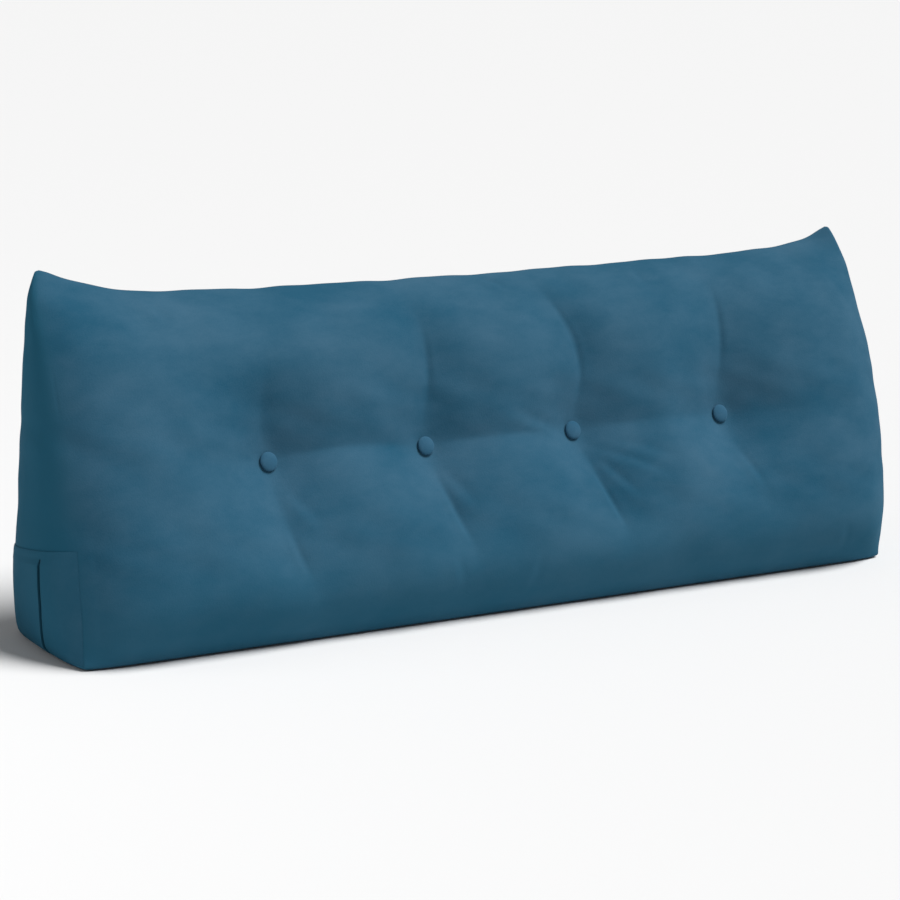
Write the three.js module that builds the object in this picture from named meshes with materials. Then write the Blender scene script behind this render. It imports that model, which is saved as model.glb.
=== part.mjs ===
// A wedge-shaped backrest pillow, tufted with four covered buttons and with a flat pocket on
// its left end. Sizes are millimetres, +Z is up and the pillow stands on its base, as in use.
// The origin is the centre of the base, +X runs to the right end and -Y is the padded face.
import * as THREE from 'three';
import { mergeVertices } from 'three/addons/utils/BufferGeometryUtils.js';

// Cover, measured along its seams
const LENGTH = 1450;
const BASE_DEPTH = 200;
const EAR_HEIGHT = 504;
const EAR_INSET = 19;
const EAR_POINTEDNESS = 12;
const END_DRAW_IN = 5;
const BASE_SEAM_HEIGHT = 4;
const BASE_RIM = 16;
const CORNER_CUT = 6;
const CORNER_REACH = 22;
const FACE_BOW = { height: 28, roundness: 0.9 };
const RIGHT_BOW = { extra: 15, reach: 200 };

// Drop of the top seam: steep by each ear, then gentle towards the middle
const TOP_DROP = {
  left: { steep: 44, reach: 80, gentle: 0 },
  right: { steep: 32, reach: 50, gentle: 12 },
};

// Puff of each filled panel: height of the crown, and how soon and how roundly it rises
const FACE_PUFF = { crown: 44, fromEnd: [220, 4.5], fromBase: [110, 3.2], fromTop: [150, 3] };
const BACK_PUFF = { crown: 24, fromEnd: [200, 4], fromBase: [130, 3], fromTop: [150, 3] };
const END_PUFF = { crown: 26, fromBase: [140, 2.4], across: 3, narrowing: 0.4 };

// Buttons, and the tuft that each one pulls into the face
const BUTTON = { radius: 14, rim: 3.2, dome: 4.3, underCurve: 1.5, rings: 5, facets: 20, clearance: 0.35 };
const BUTTON_ALONG = [-406, -139, 129, 416];
const BUTTON_UP_FACE = 250;
const TUFT = { depth: 54, dish: 17, reach: 28 };

// Channels in the face that run out from the tufts, in mm along the pillow and up the face.
// Deep and fading are the shares of the tuft's depth at the start and at the end.
const CHANNELS = {
  upright: [
    { from: [-406, 250], bend: [-424, 330], to: [-405, 400], deep: 0.68, fading: 0.02, wide: 150 },
    { from: [-139, 250], bend: [-112, 380], to: [-144, 486], deep: 0.68, fading: 0.08, wide: 150 },
    { from: [129, 250], bend: [178, 380], to: [92, 490], deep: 0.68, fading: 0.14, wide: 150 },
    { from: [416, 250], bend: [438, 380], to: [426, 486], deep: 0.66, fading: 0.1, wide: 150 },
    { from: [-406, 250], bend: [-414, 160], to: [-385, 78], deep: 0.66, fading: 0.04, wide: 150 },
    { from: [-139, 250], bend: [-128, 160], to: [-104, 74], deep: 0.68, fading: 0.04, wide: 150 },
    { from: [129, 250], bend: [150, 160], to: [175, 74], deep: 0.68, fading: 0.04, wide: 150 },
    { from: [416, 250], bend: [424, 180], to: [440, 126], deep: 0.6, fading: 0, wide: 140 },
  ],
  level: [
    { from: [-406, 250], bend: [-270, 264], to: [-139, 250], deep: 0.54, fading: 0.56, wide: 150 },
    { from: [-139, 250], bend: [0, 254], to: [129, 250], deep: 0.54, fading: 0.54, wide: 150 },
    { from: [129, 250], bend: [270, 246], to: [416, 250], deep: 0.4, fading: 0.4, wide: 150 },
  ],
};
const CHANNEL_FULLNESS = 2.1;
const CHANNEL_STEPS = 24;

// Side pocket: a patch of the cover cloth on the left end, hemmed at its mouth, with one pleat.
// The mouth rises from the back seam to the face; the pleat is given at its foot, knee and top.
const POCKET = {
  cloth: 2.2,
  hem: 22,
  hemFold: 1.8,
  gap: 0.8,
  foot: 14,
  mouthAtBack: 128,
  mouthAtFace: 148,
  seamInset: 0.02,
  thinEdge: 0.07,
  thinnest: 0.35,
};
const PLEAT = {
  foot: 0.59,
  knee: 0.68,
  top: 0.7,
  kneeHeight: 0.5,
  groove: 1.6,
  bedded: 0.9,
  lift: 3.2,
  spread: 0.3,
  hemStep: 0.025,
};

// Largest step between grid lines on the cover and the pocket, and the lines close to a seam
const STEP = { along: 25, up: 22, across: 34, pocketAcross: 0.07, pocketUp: 0.14 };
const NEAR_SEAM = { edge: 6, shoulder: 40, foot: 14, belowEar: [30, 12] };
const MERGE_DISTANCE = 1e-3;
const SMALLEST_AREA = 1e-6;
const PROBE = 0.01;

const velvet = new THREE.MeshStandardMaterial({ color: 0x2f5f78, roughness: 0.9, metalness: 0 });
const buttonVelvet = new THREE.MeshStandardMaterial({ color: 0x346580, roughness: 0.88, metalness: 0 });

const HALF_LENGTH = LENGTH / 2;
const HALF_DEPTH = BASE_DEPTH / 2;
const TOP_HEIGHT = EAR_HEIGHT - TOP_DROP.left.steep;
const FACE_UP = new THREE.Vector3(0, BASE_DEPTH, TOP_HEIGHT - BASE_SEAM_HEIGHT);
const FACE_HEIGHT = FACE_UP.length();
FACE_UP.normalize();
const FACE_OUT = new THREE.Vector3(0, -FACE_UP.z, FACE_UP.y);
const BACK_OUT = new THREE.Vector3(0, 1, 0);

const mix = THREE.MathUtils.lerp;

// How far a filled panel has risen at a distance from its seam, from 0 on the seam to 1
function rise(distance, [reach, fullness]) {
  return 1 - Math.pow(Math.max(0, 1 - distance / reach), fullness);
}

// How much of the corner cut is left at a distance from the corner
function cornerCut(distance) {
  return CORNER_CUT * Math.exp(-distance / CORNER_REACH);
}

// Distance along the pillow from a place to its nearer end; along runs from -1 to 1
function fromEnd(along) {
  return (1 - Math.abs(along)) * HALF_LENGTH;
}

// Grid lines between 0 and a size, through every stop and no further apart than the step
function gridLines(stops, step) {
  const lines = [stops[0]];
  for (let i = 1; i < stops.length; i += 1) {
    const span = stops[i] - stops[i - 1];
    const cells = Math.ceil(span / step);
    for (let cell = 1; cell <= cells; cell += 1) {
      lines.push(stops[i - 1] + (span * cell) / cells);
    }
  }
  return lines;
}

// Seams of the cover. Along runs from -1 at the left end to 1 at the right end,
// up from 0 at the base to 1 at the ear, and across from 0 at the back to 1 at the face.
function baseLongSeam(along, side) {
  const depth = HALF_DEPTH - cornerCut(fromEnd(along));
  return new THREE.Vector3(along * (HALF_LENGTH - CORNER_CUT), side * depth, BASE_SEAM_HEIGHT);
}

function baseEndSeam(end, across) {
  const depth = mix(HALF_DEPTH - CORNER_CUT, CORNER_CUT - HALF_DEPTH, across);
  const reach = HALF_LENGTH - cornerCut(Math.min(across, 1 - across) * BASE_DEPTH);
  return new THREE.Vector3(end * reach, depth, BASE_SEAM_HEIGHT);
}

function topSeam(along) {
  const drop = along < 0 ? TOP_DROP.left : TOP_DROP.right;
  const distance = fromEnd(along);
  const steep = drop.steep * (1 - Math.exp(-distance / drop.reach));
  const gentle = (drop.gentle * distance) / HALF_LENGTH;
  const x = along * (HALF_LENGTH - EAR_INSET);
  return new THREE.Vector3(x, HALF_DEPTH, EAR_HEIGHT - steep - gentle);
}

// Share of its bow that the face has at a height, a half sine raised to its roundness
function bowShare(up) {
  return Math.sin(Math.PI * Math.min(up, 1)) ** FACE_BOW.roundness;
}

function uprightSeam(end, up, side) {
  const z = mix(BASE_SEAM_HEIGHT, EAR_HEIGHT, up);
  const cut = cornerCut(z - BASE_SEAM_HEIGHT);
  const drawn = END_DRAW_IN * Math.sin(Math.PI * up) + EAR_INSET * Math.pow(up, EAR_POINTEDNESS);
  const plain = side > 0 ? HALF_DEPTH : mix(-HALF_DEPTH, HALF_DEPTH, up);
  const point = new THREE.Vector3(end * (HALF_LENGTH - cut - drawn), plain - side * cut, z);
  const height = FACE_BOW.height + (end > 0 ? RIGHT_BOW.extra : 0);
  return side > 0 ? point : point.addScaledVector(FACE_OUT, height * bowShare(up));
}

// A smooth patch between four seams; a runs from one end to the other, b from low to high
function patchBetween(a, b, low, high, first, last) {
  const point = new THREE.Vector3();
  point.addScaledVector(low(a), 1 - b).addScaledVector(high(a), b);
  point.addScaledVector(first(b), 1 - a).addScaledVector(last(b), a);
  point.addScaledVector(low(0), -(1 - a) * (1 - b)).addScaledVector(low(1), -a * (1 - b));
  point.addScaledVector(high(0), -(1 - a) * b).addScaledVector(high(1), -a * b);
  return point;
}

const channelRuns = Object.values(CHANNELS).map((run) => run.map((channel) => {
  const corners = [channel.from, channel.bend, channel.to].map(([x, up]) => new THREE.Vector2(x, up));
  return { ...channel, points: new THREE.QuadraticBezierCurve(...corners).getPoints(CHANNEL_STEPS) };
}));

// Share of the tuft's depth that one channel holds in; beside it the cloth rises as by a seam
function channelShare({ points, deep, fading, wide }, place) {
  const distances = points.map((point) => point.distanceTo(place));
  const nearest = Math.min(...distances);
  const along = distances.indexOf(nearest) / CHANNEL_STEPS;
  return mix(deep, fading, along) * (1 - rise(nearest, [wide, CHANNEL_FULLNESS]));
}

// How far the buttons and channels pull the face in, at a place along and up the face.
// What each button, the upright channels and the level channels leave free is multiplied.
function tuftDepth(x, upFace) {
  const place = new THREE.Vector2(x, upFace);
  const dishCorner = TUFT.dish * Math.SQRT2;
  let free = 1;
  for (const buttonX of BUTTON_ALONG) {
    const distance = place.distanceTo(new THREE.Vector2(buttonX, BUTTON_UP_FACE));
    const beyond = Math.max(0, distance - dishCorner - MERGE_DISTANCE);
    free *= 1 - Math.exp(-beyond / TUFT.reach);
  }
  for (const run of channelRuns) {
    free *= 1 - Math.max(...run.map((channel) => channelShare(channel, place)));
  }
  return TUFT.depth * (1 - free);
}

// Share of its full height that a long panel reaches at a place between its four seams
function puffShare(puff, along, up) {
  const ends = rise(fromEnd(along), puff.fromEnd);
  const base = rise(up * FACE_HEIGHT, puff.fromBase);
  const top = rise((1 - up) * FACE_HEIGHT, puff.fromTop);
  return ends * base * top;
}

function longPanelPatch(along, up, side) {
  const seamAt = (a) => a * 2 - 1;
  return patchBetween(
    (along + 1) / 2,
    up,
    (a) => baseLongSeam(seamAt(a), side),
    (a) => topSeam(seamAt(a)),
    (b) => uprightSeam(-1, b, side),
    (b) => uprightSeam(1, b, side),
  );
}

// The face, where what it bows out more at its right end fades out within the reach
function facePoint(along, up) {
  const crown = FACE_PUFF.crown - tuftDepth(along * HALF_LENGTH, up * FACE_HEIGHT);
  const faded = ((along + 1) / 2) * (1 - Math.exp((along - 1) * (HALF_LENGTH / RIGHT_BOW.reach)));
  const height = crown * puffShare(FACE_PUFF, along, up) - RIGHT_BOW.extra * faded * bowShare(up);
  return longPanelPatch(along, up, -1).addScaledVector(FACE_OUT, height);
}

function backPoint(along, up) {
  const height = BACK_PUFF.crown * puffShare(BACK_PUFF, along, up);
  return longPanelPatch(along, up, 1).addScaledVector(BACK_OUT, height);
}

// The base is flat on the floor and turns up to its seams round the rim
function basePoint(along, across) {
  const point = patchBetween(
    (along + 1) / 2,
    across,
    (a) => baseLongSeam(a * 2 - 1, 1),
    (a) => baseLongSeam(a * 2 - 1, -1),
    (b) => baseEndSeam(-1, b),
    (b) => baseEndSeam(1, b),
  );
  const inside = Math.min(fromEnd(along), Math.min(across, 1 - across) * BASE_DEPTH);
  point.z = BASE_SEAM_HEIGHT * Math.max(0, 1 - inside / BASE_RIM) ** 2;
  return point;
}

// A three-cornered end panel, narrowing from the base to the ear
function endPoint(end, across, up) {
  const point = uprightSeam(end, up, 1).lerp(uprightSeam(end, up, -1), across);
  const straightFoot = uprightSeam(end, 0, 1).lerp(uprightSeam(end, 0, -1), across);
  point.addScaledVector(baseEndSeam(end, across).sub(straightFoot), 1 - up);
  const acrossPuff = 1 - Math.abs(across * 2 - 1) ** END_PUFF.across;
  const upPuff = rise(up * EAR_HEIGHT, END_PUFF.fromBase) * (1 - up) ** END_PUFF.narrowing;
  point.x += end * END_PUFF.crown * acrossPuff * upPuff;
  return point;
}

// Adds a grid of points as triangles; outward is true when columns, rows and the outside
// follow the right-hand rule. Triangles that have shrunk to a line are left out.
function addGrid(corners, columns, rows, pointAt, outward) {
  const grid = rows.map((row) => columns.map((column) => pointAt(column, row)));
  const addTriangle = (a, b, c) => {
    const area = new THREE.Triangle(a, b, c).getArea();
    if (area > SMALLEST_AREA) {
      corners.push(a, ...(outward ? [b, c] : [c, b]));
    }
  };
  for (let r = 0; r + 1 < rows.length; r += 1) {
    for (let c = 0; c + 1 < columns.length; c += 1) {
      addTriangle(grid[r][c], grid[r][c + 1], grid[r + 1][c + 1]);
      addTriangle(grid[r][c], grid[r + 1][c + 1], grid[r + 1][c]);
    }
  }
}

function closedGeometry(corners) {
  const geometry = new THREE.BufferGeometry().setFromPoints(corners);
  const merged = mergeVertices(geometry, MERGE_DISTANCE);
  merged.computeVertexNormals();
  return merged;
}

// Grid lines, closer together by the seams and square round each button
const rimStops = [0, NEAR_SEAM.edge, BASE_RIM, NEAR_SEAM.shoulder];
const buttonStops = BUTTON_ALONG.flatMap((x) => [x - TUFT.dish, x + TUFT.dish]);
const alongStops = [
  ...rimStops.map((stop) => stop - HALF_LENGTH),
  ...buttonStops,
  ...rimStops.map((stop) => HALF_LENGTH - stop).reverse(),
];
const ALONG_LINES = gridLines(alongStops, STEP.along).map((x) => x / HALF_LENGTH);
const upStops = [
  0,
  NEAR_SEAM.foot,
  BUTTON_UP_FACE - TUFT.dish,
  BUTTON_UP_FACE + TUFT.dish,
  ...NEAR_SEAM.belowEar.map((below) => FACE_HEIGHT - below),
  FACE_HEIGHT,
];
const UP_LINES = gridLines(upStops, STEP.up).map((up) => up / FACE_HEIGHT);
const acrossRim = [0, NEAR_SEAM.edge, BASE_RIM];
const acrossStops = [...acrossRim, ...acrossRim.map((stop) => BASE_DEPTH - stop).reverse()];
const ACROSS_LINES = gridLines(acrossStops, STEP.across).map((depth) => depth / BASE_DEPTH);

// The filled body of the pillow: face, back, base and two end panels, sewn into one cover
function makeCushion() {
  const corners = [];
  addGrid(corners, ALONG_LINES, UP_LINES, facePoint, true);
  addGrid(corners, ALONG_LINES, UP_LINES, backPoint, false);
  addGrid(corners, ALONG_LINES, ACROSS_LINES, basePoint, true);
  addGrid(corners, ACROSS_LINES, UP_LINES, (across, up) => endPoint(-1, across, up), true);
  addGrid(corners, ACROSS_LINES, UP_LINES, (across, up) => endPoint(1, across, up), false);
  const cushion = new THREE.Mesh(closedGeometry(corners), velvet);
  cushion.name = 'cushion';
  return cushion;
}

// A covered button: a flat-backed dome that lies in the dish of its tuft
function makeButton(x, number) {
  const { radius, rim, dome, underCurve, rings } = BUTTON;
  const profile = [
    new THREE.Vector2(0, 0),
    new THREE.Vector2(radius - underCurve, 0),
    new THREE.Vector2(radius, underCurve),
    new THREE.Vector2(radius, rim),
  ];
  for (let ring = 1; ring < rings; ring += 1) {
    const turn = (ring / rings) * (Math.PI / 2);
    profile.push(new THREE.Vector2(radius * Math.cos(turn), rim + dome * Math.sin(turn)));
  }
  profile.push(new THREE.Vector2(0, rim + dome));
  const button = new THREE.Mesh(new THREE.LatheGeometry(profile, BUTTON.facets), buttonVelvet);

  const left = (x - TUFT.dish) / HALF_LENGTH;
  const right = (x + TUFT.dish) / HALF_LENGTH;
  const low = (BUTTON_UP_FACE - TUFT.dish) / FACE_HEIGHT;
  const high = (BUTTON_UP_FACE + TUFT.dish) / FACE_HEIGHT;
  const rightward = facePoint(right, low).sub(facePoint(left, low));
  const upward = facePoint(left, high).sub(facePoint(left, low));
  const outward = rightward.cross(upward).normalize();
  const dish = facePoint(left, low).add(facePoint(right, high)).multiplyScalar(0.5);
  button.position.copy(dish).addScaledVector(outward, BUTTON.clearance);
  button.quaternion.setFromUnitVectors(new THREE.Vector3(0, 1, 0), outward);
  button.name = `button_${number}`;
  return button;
}

// Height of the pocket's mouth above the floor, at a place across the end
function mouthHeight(across) {
  return mix(POCKET.mouthAtBack, POCKET.mouthAtFace, across);
}

// Where the pleat's edge lies across the end, at a share of the pocket's height
function pleatEdge(share) {
  const toKnee = 1 - Math.min(1, share / PLEAT.kneeHeight);
  const aboveKnee = Math.max(0, share - PLEAT.kneeHeight) / (1 - PLEAT.kneeHeight);
  return PLEAT.knee + (PLEAT.foot - PLEAT.knee) * toKnee ** 2 + (PLEAT.top - PLEAT.knee) * aboveKnee;
}

// Thickness of the pocket above its bed: one cloth, doubled at the hem, lifted behind the pleat
// and pressed thin where its three sewn edges go into the seams
function pocketThickness(across, share, fromPleat) {
  const sewnEdge = Math.min(1, Math.min(across, 1 - across) / POCKET.thinEdge);
  const pressed = mix(POCKET.thinnest, 1, sewnEdge);
  const belowMouth = (1 - share) * (mouthHeight(across) - POCKET.foot);
  if (belowMouth < POCKET.hem) {
    return (POCKET.cloth + POCKET.hemFold) * pressed;
  }
  if (fromPleat === 0) {
    return PLEAT.bedded;
  }
  const lifted = fromPleat < 0 ? PLEAT.lift * Math.max(0, 1 + fromPleat / PLEAT.spread) : 0;
  return (POCKET.cloth + lifted * (1 - share ** 3)) * pressed;
}

// The side pocket follows the left end panel, a little clear of it
function makePocket() {
  const groove = PLEAT.groove / BASE_DEPTH;
  const middle = 0.5;
  const back = gridLines([0, middle - 2 * groove], STEP.pocketAcross);
  const front = gridLines([middle + 2 * groove, 1], STEP.pocketAcross);
  const columns = [...back, middle - groove, middle, middle + groove, ...front];
  const hemShare = 1 - POCKET.hem / (POCKET.mouthAtBack - POCKET.foot);
  const rows = gridLines([0, hemShare - PLEAT.hemStep, hemShare + PLEAT.hemStep, 1], STEP.pocketUp);

  const place = (column, share) => {
    const edge = pleatEdge(share);
    const fromMiddle = column - middle;
    const across = fromMiddle < 0 ? edge + fromMiddle * 2 * edge : edge + fromMiddle * 2 * (1 - edge);
    const inset = mix(POCKET.seamInset, 1 - POCKET.seamInset, across);
    const height = mix(POCKET.foot, mouthHeight(inset), share);
    return { across: inset, up: (height - BASE_SEAM_HEIGHT) / (EAR_HEIGHT - BASE_SEAM_HEIGHT) };
  };
  const layerPoint = (column, share, above) => {
    const { across, up } = place(column, share);
    const here = endPoint(-1, across, up);
    const sideways = endPoint(-1, across + PROBE, up).sub(endPoint(-1, across - PROBE, up));
    const upwards = endPoint(-1, across, up + PROBE).sub(endPoint(-1, across, up - PROBE));
    const outward = sideways.cross(upwards).normalize();
    return here.addScaledVector(outward, above);
  };
  const inner = (column, share) => layerPoint(column, share, POCKET.gap);
  const outer = (column, share) => {
    const { across } = place(column, share);
    const fromPleat = column === middle ? 0 : across - pleatEdge(share);
    return layerPoint(column, share, POCKET.gap + pocketThickness(across, share, fromPleat));
  };

  const corners = [];
  const layers = [0, 1];
  const between = (column, share, layer) => (layer === 0 ? inner : outer)(column, share);
  addGrid(corners, columns, rows, outer, true);
  addGrid(corners, columns, rows, inner, false);
  addGrid(corners, columns, layers, (column, layer) => between(column, 0, layer), true);
  addGrid(corners, columns, layers, (column, layer) => between(column, 1, layer), false);
  addGrid(corners, layers, rows, (layer, share) => between(0, share, layer), true);
  addGrid(corners, layers, rows, (layer, share) => between(1, share, layer), false);
  const pocket = new THREE.Mesh(closedGeometry(corners), velvet);
  pocket.name = 'side_pocket';
  return pocket;
}

const group = new THREE.Group();
group.add(makeCushion());
BUTTON_ALONG.forEach((x, index) => group.add(makeButton(x, index + 1)));
group.add(makePocket());

export default group;
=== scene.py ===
import bpy
import numpy as np
from mathutils import Matrix, Vector


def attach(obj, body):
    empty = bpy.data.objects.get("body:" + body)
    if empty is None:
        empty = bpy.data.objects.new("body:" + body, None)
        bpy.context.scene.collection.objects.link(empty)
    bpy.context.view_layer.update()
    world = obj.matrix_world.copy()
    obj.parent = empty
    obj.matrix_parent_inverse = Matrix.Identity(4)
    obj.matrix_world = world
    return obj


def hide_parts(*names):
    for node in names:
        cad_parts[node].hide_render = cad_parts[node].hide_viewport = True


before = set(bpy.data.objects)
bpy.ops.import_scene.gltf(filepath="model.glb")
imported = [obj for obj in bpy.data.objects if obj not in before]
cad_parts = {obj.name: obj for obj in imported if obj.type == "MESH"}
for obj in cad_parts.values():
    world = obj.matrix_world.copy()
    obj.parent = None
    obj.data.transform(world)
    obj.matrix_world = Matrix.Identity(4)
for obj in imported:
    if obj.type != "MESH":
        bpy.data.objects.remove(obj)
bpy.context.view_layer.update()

# Filled cover. The real one is cut from velvet as a face, a back, a base and two three-cornered
# ends, sewn inside out and filled through the base, so every panel swells between its seams.
# A twine through each button holds the face in, and the cloth folds along lines between them.
MM = 0.001
LENGTH = 1.450
BASE_DEPTH = 0.200
EAR_HEIGHT = 0.510
EAR_INSET = 0.019
EAR_POINTEDNESS = 12
END_DRAW_IN = 0.005
SEAM_HEIGHT = 0.004
BASE_RIM = 0.016
CORNER_CUT = 0.008
CORNER_REACH = 0.028
FOOT_SPREAD = (0.0065, -0.004, 0.0045)  # left end, right end (drawn in), long sides
FACE_BOW = 0.028
RIGHT_BOW = (0.015, 0.200)  # how much more at the right end, and how soon it fades out
FACE_BOW_ROUNDNESS = 0.9
TOP_DROP = {"left": (0.048, 0.080, 0.000), "right": (0.036, 0.050, 0.012)}  # steep, reach, gentle
FACE_CROWN = 0.044
BACK_CROWN = 0.024
END_CROWN = 0.0235

HALF_LENGTH = LENGTH / 2
HALF_DEPTH = BASE_DEPTH / 2
FACE_RISE = np.array([0.0, BASE_DEPTH, EAR_HEIGHT - TOP_DROP["left"][0] - SEAM_HEIGHT])
FACE_HEIGHT = float(np.linalg.norm(FACE_RISE))
FACE_UP = FACE_RISE / FACE_HEIGHT
FACE_OUT = np.array([0.0, -FACE_UP[2], FACE_UP[1]])
BACK_OUT = np.array([0.0, 1.0, 0.0])

BUTTONS_ALONG = np.array([-406, -139, 129, 416]) * MM
BUTTON_UP = 0.250
BUTTON_MIDDLE = 0.243  # height above the floor
TUFT_DEPTH = 0.054
TUFT_REACH = 0.034
DISH_RADIUS = 0.0165
FOLD_DEPTH = 0.68
FOLD_REACH = 0.150
FOLD_FULLNESS = 2.1
FOLD_ROUND = (0.002, 0.016)  # where deepest, where it fades

FILLING_PRESSURE = 3.0
FURTHEST_SWELL = 0.006
DISH_MARGIN = 0.004
EDGE_ROUNDING = 0.022
EAR_ROUNDING = 0.012
LUMP_HEIGHT = 0.0011

# The upright fold through each button: how far up the face, where it runs, and how deep it is
UPRIGHT_FOLDS = np.array([
    # up, run of 1st to 4th, depth of 1st to 4th
    [0.0, -372, -94, 180, 460, 0.00, 0.00, 0.00, 0.00],
    [30., -374, -96, 179, 458, 0.00, 0.00, 0.00, 0.00],
    [60., -378, -100, 177, 456, 0.05, 0.04, 0.05, 0.00],
    [80., -386, -105, 174, 452, 0.12, 0.11, 0.13, 0.02],
    [110, -398, -112, 167, 444, 0.33, 0.36, 0.42, 0.06],
    [140, -404, -119, 158, 434, 0.48, 0.55, 0.60, 0.13],
    [170, -408, -128, 148, 427, 0.64, 0.70, 0.74, 0.26],
    [205, -410, -135, 139, 421, 0.80, 0.84, 0.86, 0.54],
    [250, -406, -139, 129, 416, 1.00, 1.00, 1.00, 1.00],
    [270, -411, -142, 132, 413, 0.96, 0.96, 0.96, 0.94],
    [300, -416, -136, 143, 415, 0.80, 0.86, 0.88, 0.82],
    [340, -413, -128, 152, 422, 0.44, 0.78, 0.80, 0.72],
    [375, -408, -124, 151, 427, 0.10, 0.64, 0.72, 0.62],
    [405, -405, -124, 143, 429, 0.00, 0.46, 0.62, 0.50],
    [440, -404, -129, 124, 429, 0.00, 0.26, 0.48, 0.36],
    [470, -402, -137, 106, 428, 0.00, 0.08, 0.28, 0.18],
    [498, -402, -144, 92., 426, 0.00, 0.00, 0.06, 0.02],
])
# The level fold from button to button: along the pillow, how far above the buttons, and how deep
LEVEL_FOLD = np.array([
    # along, above, depth
    [-725, 0.0, 0.00],
    [-600, 0.0, 0.05],
    [-480, 0.0, 0.25],
    [-406, 2.0, 1.00],
    [-370, 5.0, 0.84],
    [-297, 7.0, 0.74],
    [-230, 5.0, 0.74],
    [-164, 1.0, 0.86],
    [-139, 0.0, 1.00],
    [-100, 2.0, 0.84],
    [-30., 1.0, 0.72],
    [70.0, 1.0, 0.80],
    [104, 1.0, 0.88],
    [129, 0.0, 1.00],
    [170, 1.0, 0.72],
    [287, -2.0, 0.46],
    [380, 0.0, 0.66],
    [416, 0.0, 1.00],
    [460, -4.0, 0.46],
    [560, -13., 0.20],
    [650, -10., 0.05],
    [725, 0.0, 0.00],
])


def rise(distance, reach, fullness):
    """How far a filled panel has risen at a distance from its seam, as a share:
    1 - (1 - distance / reach) ** fullness."""
    return 1 - np.maximum(0, 1 - distance / reach) ** fullness


def eased(at, knots, values, reach=0.012):
    """Straight lines between the knots, each value being the mean over reach on both sides."""
    steps = np.linspace(-reach, reach, 9)
    return np.interp(np.asarray(at)[..., None] + steps, knots, values).mean(-1)


def points(x, y, z):
    """Puts three arrays that fit each other together as points."""
    return np.stack(np.broadcast_arrays(x, y, z), -1)


def corner_cut(distance):
    """How much of the corner is cut off: CORNER_CUT * exp(-distance / CORNER_REACH)."""
    return CORNER_CUT * np.exp(-distance / CORNER_REACH)


def base_long_seam(along, side):
    """Seam between the base and the back (side 1) or the face (side -1), drawn in at both corners."""
    depth = HALF_DEPTH - corner_cut((1 - np.abs(along)) * HALF_LENGTH)
    return points(along * (HALF_LENGTH - CORNER_CUT), side * depth, SEAM_HEIGHT)


def base_end_seam(end, across):
    """Seam between the base and an end panel, from the back (0) to the face (1)."""
    reach = HALF_LENGTH - corner_cut(np.minimum(across, 1 - across) * BASE_DEPTH)
    return points(end * reach, (1 - 2 * across) * (HALF_DEPTH - CORNER_CUT), SEAM_HEIGHT)


def top_seam(along):
    """Seam between the face and the back: an exponential drop by each ear, then a gentle slope."""
    distance = (1 - np.abs(along)) * HALF_LENGTH
    fall = [
        steep * (1 - np.exp(-distance / reach)) + gentle * distance / HALF_LENGTH
        for steep, reach, gentle in (TOP_DROP["left"], TOP_DROP["right"])
    ]
    height = EAR_HEIGHT - np.where(np.asarray(along) < 0, fall[0], fall[1])
    return points(along * (HALF_LENGTH - EAR_INSET), HALF_DEPTH, height)


def bowed(up):
    """How far the face bows out at a height, as a share: a half sine to the power of its roundness."""
    return np.maximum(0, np.sin(np.pi * up))[..., None] ** FACE_BOW_ROUNDNESS * FACE_OUT


def upright_seam(end, up, side):
    """Seam of an end panel with the back or the face; the face's own bows out by a half sine."""
    height = SEAM_HEIGHT + (EAR_HEIGHT - SEAM_HEIGHT) * up
    cut = corner_cut(height - SEAM_HEIGHT)
    drawn = END_DRAW_IN * np.sin(np.pi * up) + EAR_INSET * up**EAR_POINTEDNESS
    plain = HALF_DEPTH if side > 0 else BASE_DEPTH * up - HALF_DEPTH
    seam = points(end * (HALF_LENGTH - cut - drawn), plain - side * cut, height)
    if side > 0:
        return seam
    return seam + (FACE_BOW + RIGHT_BOW[0] * (end > 0)) * bowed(up)


def long_panel(along, up, side):
    """Smooth patch between a long panel's four seams: the two straight blends less the corners.
    What the face bows out more at its right end fades out as an exponential."""
    a = ((along + 1) / 2)[..., None]
    b = up[..., None]
    low, high = base_long_seam(along, side), top_seam(along)
    first, last = upright_seam(-1, up, side), upright_seam(1, up, side)
    corners = [
        (base_long_seam(np.array(-1.0), side), (1 - a) * (1 - b)),
        (base_long_seam(np.array(1.0), side), a * (1 - b)),
        (top_seam(np.array(-1.0)), (1 - a) * b),
        (top_seam(np.array(1.0)), a * b),
    ]
    patch = low * (1 - b) + high * b + first * (1 - a) + last * a
    patch = patch - sum(corner * weight for corner, weight in corners)
    if side < 0:
        patch = patch - RIGHT_BOW[0] * a * (1 - np.exp((a - 1) * LENGTH / RIGHT_BOW[1])) * bowed(up)
    return patch


def panel_puff(along, up, by_end, by_base, by_top):
    """Share of its crown that a long panel reaches between its seams; each by_ is reach, fullness."""
    ends = rise((1 - np.abs(along)) * HALF_LENGTH, *by_end)
    return ends * rise(up * FACE_HEIGHT, *by_base) * rise((1 - up) * FACE_HEIGHT, *by_top)


def soft_gap(gap, depth):
    """Distance to a fold with a round bottom: sqrt(gap**2 + round**2) - round. A shallow fold is
    rounder than a deep one."""
    bottom = FOLD_ROUND[0] + (FOLD_ROUND[1] - FOLD_ROUND[0]) * (1 - depth)
    return np.sqrt(gap**2 + bottom**2) - bottom


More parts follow.
